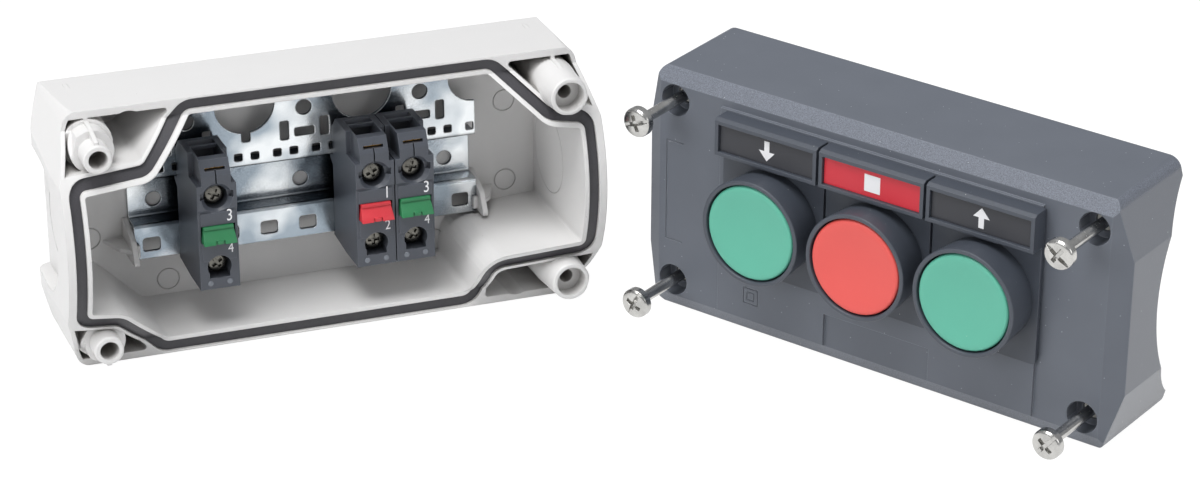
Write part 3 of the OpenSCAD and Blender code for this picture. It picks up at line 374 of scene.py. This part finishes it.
# a darker copy of the screw steel for the terminal screws deep in their wells: painted shade
shadedScrewSteel = metal("shadedScrewSteel", (120, 118, 112), 0.24, grain=0.5, change=0.3, edge=0.12)

for part in frame["record"]["subparts"]:
    carrier = nodes[part["node"]]
    carrier.data.materials.clear()
    carrier.data.materials.append(finishes[part["material_slot"]])
print("materials made")

# Stage: white floor and soft light from above, the left and the front
stage = {"floor": 6.0, "drop": 0.0002, "tintSize": 300, "grey": (0.78, 0.78, 0.78, 1),
         "paleGrey": (0.8, 0.8, 0.8, 1), "rough": 0.9, "specular": 0.1, "whiteShare": 0.84,
         "whiteStrength": 1.15, "skyLow": (0.42, 0.43, 0.45, 1), "skyHigh": (0.75, 0.76, 0.78, 1),
         "skyStrength": 0.62, "skyFrom": -0.1, "skyTo": 0.9, "white": (1, 1, 1, 1)}


def floorMaterial():
    material, tree, shader, place = newMaterial("floorWhite")
    out = tree.nodes["Material Output"]
    shader.inputs["Roughness"].default_value = stage["rough"]
    shader.inputs["Specular IOR Level"].default_value = stage["specular"]
    zones = noise(tree, place, stage["tintSize"])
    tint = mixColour(tree, zones, stage["grey"], stage["paleGrey"])
    link(tree, tint, shader.inputs["Base Color"])
    glow = node(tree, "ShaderNodeEmission")
    glow.inputs["Strength"].default_value = stage["whiteStrength"]
    path = node(tree, "ShaderNodeLightPath")
    mirrored = combined(tree, "MAXIMUM", path.outputs["Is Transmission Ray"], path.outputs["Is Glossy Ray"])
    share = node(tree, "ShaderNodeMath", operation="MULTIPLY")
    link(tree, combined(tree, "MAXIMUM", path.outputs["Is Camera Ray"], mirrored), share.inputs[0])
    share.inputs[1].default_value = stage["whiteShare"]
    mix = node(tree, "ShaderNodeMixShader")
    link(tree, share.outputs[0], mix.inputs[0])
    link(tree, shader.outputs[0], mix.inputs[1])
    link(tree, glow.outputs[0], mix.inputs[2])
    link(tree, mix.outputs[0], out.inputs["Surface"])
    return material


def makeFloor():
    mesh = bpy.data.meshes.new("floor")
    half = stage["floor"] / 2
    corners = [(-half, -half, 0), (half, -half, 0), (half, half, 0), (-half, half, 0)]
    mesh.from_pydata(corners, [], [(0, 1, 2, 3)])
    floor = bpy.data.objects.new("floor", mesh)
    scene.collection.objects.link(floor)
    floor.location.z = min(cadLow.z, 0) - stage["drop"]
    mesh.materials.append(floorMaterial())


def areaLight(name, place, aim, size, power):
    data = bpy.data.lights.new(name, "AREA")
    data.shape = "RECTANGLE"
    data.size, data.size_y = size
    data.energy = power
    lamp = bpy.data.objects.new(name, data)
    lamp.location = place
    lamp.rotation_mode = "QUATERNION"
    lamp.rotation_quaternion = (Vector(aim) - Vector(place)).to_track_quat("-Z", "Y")
    scene.collection.objects.link(lamp)


def makeWorld():
    world = bpy.data.worlds.new("studio")
    scene.world = world
    world.use_nodes = True
    tree = world.node_tree
    background = tree.nodes["Background"]
    path = node(tree, "ShaderNodeLightPath")
    place = node(tree, "ShaderNodeTexCoord").outputs["Generated"]
    parts = node(tree, "ShaderNodeSeparateXYZ")
    link(tree, place, parts.inputs[0])
    height = ranged(tree, parts.outputs["Z"], stage["skyFrom"], stage["skyTo"])
    sky = mixColour(tree, height, stage["skyLow"], stage["skyHigh"])
    seen = combined(tree, "MAXIMUM", path.outputs["Is Camera Ray"], path.outputs["Is Transmission Ray"])
    link(tree, mixColour(tree, seen, sky, stage["white"]), background.inputs["Color"])
    background.inputs["Strength"].default_value = stage["skyStrength"]


lamps = {"topSoftbox": {"place": (-0.35, -0.25, 1.25), "size": (0.8, 0.6), "power": 13.5},
         "leftSoftbox": {"place": (-1.35, -0.6, 0.7), "size": (0.6, 0.6), "power": 6.5},
         "frontFill": {"place": (0.9, -1.2, 0.6), "size": (0.8, 0.6), "power": 2.5}}
lampAim = (0.06, -0.03, 0.03)

makeFloor()
makeWorld()
for name, lamp in lamps.items():
    areaLight(name, lamp["place"], lampAim, lamp["size"], lamp["power"])
print("stage set")

# Mesh helpers: every piece is drawn in millimetres in its half's frame
sharpAngle = math.radians(32)


def addPiece(name, mesh, matrix, body, slot, material=None, replaced=()):
    bmesh.ops.transform(mesh, matrix=matrix, verts=mesh.verts)
    bmesh.ops.recalc_face_normals(mesh, faces=mesh.faces)
    for face in mesh.faces:
        face.smooth = True
    for edge in mesh.edges:
        edge.smooth = len(edge.link_faces) == 2 and edge.calc_face_angle(0) < sharpAngle
    data = bpy.data.meshes.new(name)
    mesh.to_mesh(data)
    mesh.free()
    data.materials.append(material or finishes[slot])
    piece = bpy.data.objects.new(name, data)
    scene.collection.objects.link(piece)
    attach(piece, body)
    if replaced:
        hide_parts(*replaced)
    return piece


def arc(centre, radius, start, stop, steps):
    return [(centre[0] + radius * math.cos(math.radians(start + (stop - start) * i / steps)),
             centre[1] + radius * math.sin(math.radians(start + (stop - start) * i / steps)))
            for i in range(steps + 1)]


def lathe(profile, steps=96):  # turns (radius, height) points about z, in a loop or from axis to axis
    mesh = bmesh.new()
    onAxis = profile[0][0] == 0 and profile[-1][0] == 0
    rings = []
    for radius, height in profile:
        if radius == 0:
            rings.append([mesh.verts.new((0, 0, height))])
        else:
            rings.append([mesh.verts.new((radius * math.cos(2 * math.pi * i / steps),
                                          radius * math.sin(2 * math.pi * i / steps), height))
                          for i in range(steps)])
    pairs = list(zip(rings, rings[1:]))
    if not onAxis:
        pairs.append((rings[-1], rings[0]))
    for low, high in pairs:
        for i in range(steps):
            j = (i + 1) % steps
            corners = [low[i % len(low)], low[j % len(low)], high[j % len(high)], high[i % len(high)]]
            corners = [v for k, v in enumerate(corners) if v not in corners[:k]]
            if len(corners) > 2:
                mesh.faces.new(corners)
    return mesh


def prism(outline, low, high):
    mesh = bmesh.new()
    bottom = [mesh.verts.new((x, y, low)) for x, y in outline]
    top = [mesh.verts.new((x, y, high)) for x, y in outline]
    mesh.faces.new(bottom[::-1])
    mesh.faces.new(top)
    for i in range(len(outline)):
        j = (i + 1) % len(outline)
        mesh.faces.new((bottom[i], bottom[j], top[j], top[i]))
    return mesh


def block(low, high):
    mesh = bmesh.new()
    bmesh.ops.create_cube(mesh, size=1, matrix=Matrix.LocRotScale(
        (Vector(low) + Vector(high)) / 2, None, Vector(high) - Vector(low)))
    return mesh


def sideways(outline, left, right):  # prism of a (y, z) outline along x
    mesh = prism(outline, left, right)
    upEndwise = Matrix(((0, 0, 1, 0), (1, 0, 0, 0), (0, 1, 0, 0), (0, 0, 0, 1)))
    bmesh.ops.transform(mesh, matrix=upEndwise, verts=mesh.verts)
    return mesh


def rounded(mesh, radius):
    bmesh.ops.recalc_face_normals(mesh, faces=mesh.faces)
    sharp = [e for e in mesh.edges if len(e.link_faces) == 2 and e.calc_face_angle(0) > sharpAngle]
    bmesh.ops.bevel(mesh, geom=sharp, offset=radius, segments=2, profile=0.5, affect="EDGES")
    return mesh


def carved(mesh, *cutters):
    made = []
    for source in (mesh,) + cutters:
        bmesh.ops.recalc_face_normals(source, faces=source.faces)
        data = bpy.data.meshes.new("carving")
        source.to_mesh(data)
        source.free()
        made.append(bpy.data.objects.new("carving", data))
        scene.collection.objects.link(made[-1])
    for cutter in made[1:]:
        cut = made[0].modifiers.new("cut", "BOOLEAN")
        cut.operation = "DIFFERENCE"
        cut.solver = "EXACT"
        cut.object = cutter
    result = bmesh.new()
    result.from_object(made[0], bpy.context.evaluated_depsgraph_get())
    for item in made:
        data = item.data
        bpy.data.objects.remove(item)
        bpy.data.meshes.remove(data)
    return result


def joined(*meshes):
    whole = meshes[0]
    for other in meshes[1:]:
        data = bpy.data.meshes.new("part")
        other.to_mesh(data)
        other.free()
        whole.from_mesh(data)
        bpy.data.meshes.remove(data)
    return whole


# Buttons: bezels and caps
button = {"pitch": 31, "x": 1.7, "y": 1.8, "bezelRadius": 14.2, "rootRadius": 13.4, "innerRadius": 13.0,
          "seat": 1.8, "top": 12.1, "lipRound": 0.35, "shankRadius": 10.95, "shankEnd": -12,
          "stemRadius": 7.4, "stemEnd": -25.6, "capRadius": 12.6, "capFace": 11.8, "capThick": 3.8,
          "capRound": 0.7, "capRim": 1.6, "dish": 0.75, "boreAir": 0.06, "springSeat": -8,
          "springRadius": 9.8, "travel": 4, "air": 0.3}


def buttonFrame(i):
    return coverFrame @ moved(button["x"] + i * button["pitch"], button["y"], 0)


def bezelProfile():
    b = button
    rounding = b["lipRound"]
    floorHeight = b["capFace"] - b["capThick"] - b["travel"] - b["air"]
    return ([(b["stemRadius"] + b["boreAir"], b["shankEnd"]), (b["shankRadius"], b["shankEnd"]),
             (b["shankRadius"], b["seat"]), (b["rootRadius"], b["seat"])]
            + arc((b["bezelRadius"] - rounding, b["top"] - rounding), rounding, 0, 90, 5)
            + arc((b["innerRadius"] + rounding, b["top"] - rounding), rounding, 90, 180, 5)
            + [(b["innerRadius"], floorHeight), (b["springRadius"], floorHeight),
               (b["springRadius"], b["springSeat"]), (b["stemRadius"] + b["boreAir"], b["springSeat"])])


def capProfile():
    b = button
    face, rounding = b["capFace"], b["capRound"]
    edge = b["capRadius"] - b["capRim"]
    dish = [(edge * k / 12, face - b["dish"] * (1 - (k / 12) ** 2)) for k in range(13)]
    side = arc((b["capRadius"] - rounding, face - rounding), rounding, 90, 0, 6)
    return (dish + side + [(b["capRadius"], face - b["capThick"]), (b["stemRadius"], face - b["capThick"]),
                           (b["stemRadius"], b["stemEnd"]), (0, b["stemEnd"])])


for i, tint in ((-1, "cap_green"), (0, "cap_red"), (1, "cap_green")):
    number = i + 2
    addPiece(f"bezelRing_{number}", lathe(bezelProfile()), buttonFrame(i), "cover", "bezel_plastic",
             replaced=(f"bezel_{number}",))
    addPiece(f"capDish_{number}", lathe(capProfile()), buttonFrame(i), f"button_body_{number}", tint,
             replaced=(f"button_cap_{number}",))
print("buttons made")

# Pictures on the legend inserts, in place of words: down, stop and up
picture = {"height": 5.4, "thick": 0.06, "face": 5.0, "y": 20.15, "shaft": 0.75, "wing": 2.3, "neck": 0.1,
           "squareShare": 0.42}


def arrowOutline(up):
    half, way = picture["height"] / 2, 1 if up else -1
    shaft, wing, neck = picture["shaft"], picture["wing"], picture["neck"]
    points = [(-shaft, -half), (shaft, -half), (shaft, neck), (wing, neck), (0, half), (-wing, neck),
              (-shaft, neck)]
    return [(x, y * way) for x, y in points][::way]


def addPictures():
    p = picture
    square = p["squareShare"] * p["height"]
    shapes = {1: arrowOutline(False),
              2: [(-square, -square), (square, -square), (square, square), (-square, square)],
              3: arrowOutline(True)}
    for number, outline in shapes.items():
        mesh = prism(outline, p["face"], p["face"] + p["thick"])
        addPiece(f"legendPicture_{number}", mesh, buttonFrame(number - 2) @ moved(0, p["y"], 0), "cover",
                 "label_red" if number == 2 else "label_black", material=printWhite)


addPictures()
print("legends made")

# Screws: the captive ones of the cover and the terminal ones of the contact blocks
screwHead = {"crownShare": 0.72, "bendStart": 58, "under": 0.15, "recessRound": 0.12, "over": 1}
thread = {"steps": 28, "sunk": 0.1, "start": 0.05, "footShare": 0.42, "crestShare": 0.07}
coverScrew = {"x": 60.6, "y": 25.45, "out": 17.7, "turns": (20, 65, -35, 50), "headRadius": 3.9,
              "headThick": 2.8, "headEdge": 0.9, "crown": 0.3, "neck": 0.35, "shankRadius": 1.45,
              "shankEnd": -24.8, "shankTaper": 0.3, "tip": -35.8, "tipRadius": 0.8, "tipTaper": 0.9,
              "threadRoot": 1.6, "threadRadius": 1.95, "threadPitch": 0.9, "slotWidth": 0.9,
              "slotDepth": 0.8, "crossWidth": 1.1, "crossLength": 4.4, "crossDepth": 1.7}


def crownedHead(screw):
    radius, thick, crown, edge = (screw[key] for key in ("headRadius", "headThick", "crown", "headEdge"))
    under = screwHead["under"]
    top = [(radius * screwHead["crownShare"] * k / 6, -crown * (k / 6) ** 2) for k in range(7)]
    bend = arc((radius - edge, -crown - edge), edge, screwHead["bendStart"], 0, 6)
    return top + bend + [(radius, -thick + under), (radius - under, -thick)]


def recesses(screw):
    width, length, depth = (screw[key] for key in ("crossWidth", "crossLength", "crossDepth"))
    over = screwHead["over"]
    arms = [rounded(block((-x / 2, -y / 2, -depth), (x / 2, y / 2, over)), screwHead["recessRound"])
            for x, y in ((length, width), (width, length))]
    if "slotWidth" in screw:
        reach, half = screw["headRadius"] + over, screw["slotWidth"] / 2
        arms.append(block((-reach, -half, -screw["slotDepth"]), (reach, half, over)))
    return arms


def threadRibbon(root, crest, pitch, low, high):
    t = thread
    mesh = bmesh.new()
    count = int((high - low) / pitch * t["steps"])
    rows = []
    for k in range(count + 1):
        angle = 2 * math.pi * k / t["steps"]
        height = low + (high - low) * k / count
        fade = min(1, k / t["steps"], (count - k) / t["steps"])
        rim = root - t["start"] + (crest - root + t["start"]) * fade
        foot, top = pitch * t["footShare"], pitch * t["crestShare"]
        rows.append([mesh.verts.new((r * math.cos(angle), r * math.sin(angle), height + rise))
                     for r, rise in ((root - t["sunk"], -foot), (rim, -top), (rim, top),
                                     (root - t["sunk"], foot))])
    for first, second in zip(rows, rows[1:]):
        for i in range(4):
            j = (i + 1) % 4
            mesh.faces.new((first[i], second[i], second[j], first[j]))
    mesh.faces.new(rows[0])
    mesh.faces.new(rows[-1][::-1])
    return mesh


def coverScrewMesh():
    s = coverScrew
    threadLow, threadHigh = s["tip"] + s["tipTaper"], s["shankEnd"] - s["shankTaper"]
    shank = [(s["shankRadius"] + s["neck"], -s["headThick"]),
             (s["shankRadius"], -s["headThick"] - s["neck"]), (s["shankRadius"], s["shankEnd"]),
             (s["threadRoot"], threadHigh), (s["threadRoot"], threadLow), (s["tipRadius"], s["tip"]),
             (0, s["tip"])]
    body = lathe(crownedHead(s) + shank, 64)
    return joined(carved(body, *recesses(s)),
                  threadRibbon(s["threadRoot"], s["threadRadius"], s["threadPitch"], threadLow, threadHigh))


for number, (sideX, sideY) in enumerate(((-1, 1), (-1, -1), (1, 1), (1, -1)), 1):
    turn = coverScrew["turns"][number - 1]
    place = coverFrame @ moved(sideX * coverScrew["x"], sideY * coverScrew["y"], coverScrew["out"])
    addPiece(f"panScrew_{number}", coverScrewMesh(), place @ turned(turn, "Z"), f"screw_body_{number}",
             "zinc_screws", replaced=(f"cover_screw_{number}",))

terminal = {"blocks": (-28.9, 12.3, 22.8), "high": 6.5, "low": -12.1, "headTop": -2.0,
            "turns": ((65, 35), (115, 0), (165, -35)), "headRadius": 2.5, "headThick": 2.2,
            "headEdge": 0.5, "crown": 0.15, "shankRadius": 1.25, "tip": -13.1, "crossWidth": 0.85,
            "crossLength": 3.0, "crossDepth": 1.1}


def terminalScrewMesh():
    t = terminal
    tip = t["tip"] - t["headTop"]
    shank = [(t["shankRadius"], -t["headThick"]), (t["shankRadius"], tip), (0, tip)]
    body = lathe(crownedHead(t) + shank, 48)
    return carved(body, *recesses(t))


for number, x in enumerate(terminal["blocks"], 1):
    pair = []
    for y, turn in zip((terminal["high"], terminal["low"]), terminal["turns"][number - 1]):
        screw = terminalScrewMesh()
        place = moved(x, y, terminal["headTop"]) @ turned(turn, "Z")
        bmesh.ops.transform(screw, matrix=place, verts=screw.verts)
        pair.append(screw)
    addPiece(f"clampScrews_{number}", joined(*pair), baseFrame, "base", "zinc_screws", material=shadedScrewSteel,
             replaced=(f"terminal_screws_{number}",))
print("screws made")

# Plungers of the contact blocks, narrower at the top than at the nose
plunger = {"width": 8.6, "topShare": 0.9, "high": -0.8, "low": -5.2, "face": 0.6, "step": 0.9, "back": -4,
           "nose": 3.3, "noseY": -3.8, "noseBack": 0.8, "round": 0.14, "stemWidth": 3.6, "stemHigh": -1.4,
           "stemLow": -4.6, "stemEnd": -11, "stemIn": 0.5, "stemRound": 0.1, "nub": 1.7, "nubAir": 0.35,
           "nubHigh": 1.1, "nubDrop": 0.2, "nubIn": 0.02, "notchHigh": 0.9, "notchDeep": 0.75, "over": 1}


def plungerMesh():
    q = plunger
    top = q["face"] + q["step"]
    head = sideways([(q["low"], q["back"]), (q["high"], q["back"]), (q["high"], top),
                     (q["high"] - q["step"], top), (q["high"] - q["step"], q["face"] + q["step"] / 2),
                     (q["noseY"], q["nose"] - q["noseBack"]), (q["low"], q["nose"])],
                    -q["width"] / 2, q["width"] / 2)
    for vert in head.verts:
        share = (vert.co.y - q["low"]) / (q["high"] - q["low"])
        vert.co.x *= 1 - (1 - q["topShare"]) * share
    head = rounded(head, q["round"])
    half = q["nub"] / 2
    notch = block((-half - q["nubAir"], q["low"] - q["over"], q["nose"] - q["notchDeep"]),
                  (half + q["nubAir"], q["low"] + q["notchHigh"], q["nose"] + q["over"]))
    head = carved(head, notch)
    nub = rounded(block((-half, q["low"] + q["nubIn"], q["nose"] - q["nubHigh"]),
                        (half, q["low"] + q["nubHigh"], q["nose"] - q["nubDrop"])), q["round"])
    stem = rounded(block((-q["stemWidth"] / 2, q["stemLow"], q["stemEnd"]),
                         (q["stemWidth"] / 2, q["stemHigh"], q["back"] + q["stemIn"])), q["stemRound"])
    return joined(head, nub, stem)


for number, x in enumerate(terminal["blocks"], 1):
    slot = "plunger_red" if number == 2 else "plunger_green"
    addPiece(f"contactPlunger_{number}", plungerMesh(), baseFrame @ moved(x, 0, 0),
             f"plunger_body_{number}", slot, replaced=(f"plunger_{number}",))
print("plungers made")

# Return springs of buttons and plungers, each moving with its cap or plunger
springs = {"button": {"low": button["springSeat"], "high": 8, "radius": 8.45, "wire": 0.6,
                      "travel": button["travel"]},
           "plunger": {"low": -17, "high": plunger["stemEnd"], "radius": 1.3, "wire": 0.27, "travel": 2.5},
           "plungerY": -3, "turns": 6, "deadTurns": 0.9, "steps": 28, "wireSides": 8}


def coilMesh(spring):  # a wire that lies flat in its first and last turns
    wire, turns, dead, sides = spring["wire"], springs["turns"], springs["deadTurns"], springs["wireSides"]
    low, high = spring["low"] + wire, spring["high"] - wire
    section = [(spring["radius"] + x, z) for x, z in arc((0, 0), wire, 0, 360, sides)[:-1]]
    mesh = bmesh.new()
    rings = []
    for k in range(turns * springs["steps"] + 1):
        turn = k / springs["steps"]
        share = min(1, max(0, (turn - dead) / (turns - 2 * dead)))
        height = low + (high - low) * share * share * (3 - 2 * share)
        angle = 2 * math.pi * turn
        rings.append([mesh.verts.new((r * math.cos(angle), r * math.sin(angle), height + z))
                      for r, z in section])
    for first, second in zip(rings, rings[1:]):
        for i in range(sides):
            j = (i + 1) % sides
            mesh.faces.new((first[i], first[j], second[j], second[i]))
    mesh.faces.new(rings[0][::-1])
    mesh.faces.new(rings[-1])
    return mesh


def addSpring(kind, number, place):
    spring = springs[kind]
    piece = addPiece(f"{kind}Coil_{number}", coilMesh(spring), place, f"{kind}_body_{number}", "spring_steel",
                     replaced=(f"{kind}_spring_{number}",))
    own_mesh(piece)


for number in (1, 2, 3):
    addSpring("button", number, buttonFrame(number - 2))
    addSpring("plunger", number, baseFrame @ moved(terminal["blocks"][number - 1], springs["plungerY"], 0))
print("springs made")

# Polished moulding marks at the foot of each block, lighter than the block as a painted glint
footMark = {"x": 2.5, "y": -16.5, "radius": 0.75, "face": 0.6, "rise": 0.25, "sunk": 0.4}
# lighter than the block plastic: painted glint
glintMarkPlastic = plastic("glintMarkPlastic", (112, 117, 125), 0.15, grain=0.3, grainDepth=0.002, change=0.05)


def footMarkMesh(x):
    f = footMark
    dome = [(f["radius"] * math.sin(math.radians(a)), f["face"] + f["rise"] * math.cos(math.radians(a)))
            for a in range(0, 91, 15)]
    mark = lathe(dome + [(f["radius"], f["face"] - f["sunk"]), (0, f["face"] - f["sunk"])], 32)
    bmesh.ops.translate(mark, vec=(x, f["y"], 0), verts=mark.verts)
    return mark


for number, x in enumerate(terminal["blocks"], 1):
    marks = joined(footMarkMesh(x - footMark["x"]), footMarkMesh(x + footMark["x"]))
    addPiece(f"footMarks_{number}", marks, baseFrame, "base", "block_plastic", material=glintMarkPlastic)
print("block marks made")

# Contact numbers printed on the blocks, upper and lower
digits = {"pairs": (("3", "4"), ("1", "2"), ("3", "4")), "x": 3.05, "highY": 1.5, "lowY": -7.4,
          "highSize": 3.2, "lowSize": 2.7, "face": 0.9, "thick": 0.04, "narrow": 0.8, "capShare": 0.72}


def digitMesh(text, size):
    curve = bpy.data.curves.new("digit", "FONT")
    curve.body = text
    curve.align_x = "CENTER"
    curve.align_y = "CENTER"
    curve.size = size / digits["capShare"]
    curve.extrude = digits["thick"] / 2
    holder = bpy.data.objects.new("digit", curve)
    scene.collection.objects.link(holder)
    mesh = bmesh.new()
    data = bpy.data.meshes.new_from_object(holder.evaluated_get(bpy.context.evaluated_depsgraph_get()))
    mesh.from_mesh(data)
    bpy.data.meshes.remove(data)
    bpy.data.objects.remove(holder)
    bpy.data.curves.remove(curve)
    bmesh.ops.scale(mesh, vec=(digits["narrow"], 1, 1), verts=mesh.verts)
    return mesh


for number, x in enumerate(terminal["blocks"], 1):
    upper, lower = digits["pairs"][number - 1]
    marks = []
    for text, size, y in ((upper, digits["highSize"], digits["highY"]),
                          (lower, digits["lowSize"], digits["lowY"])):
        mark = digitMesh(text, size)
        spot = (x + digits["x"], y, digits["face"] + digits["thick"] / 2)
        bmesh.ops.translate(mark, vec=spot, verts=mark.verts)
        marks.append(mark)
    addPiece(f"contactDigits_{number}", joined(*marks), baseFrame, "base", "block_plastic",
             material=printWhite)
print("digits made")
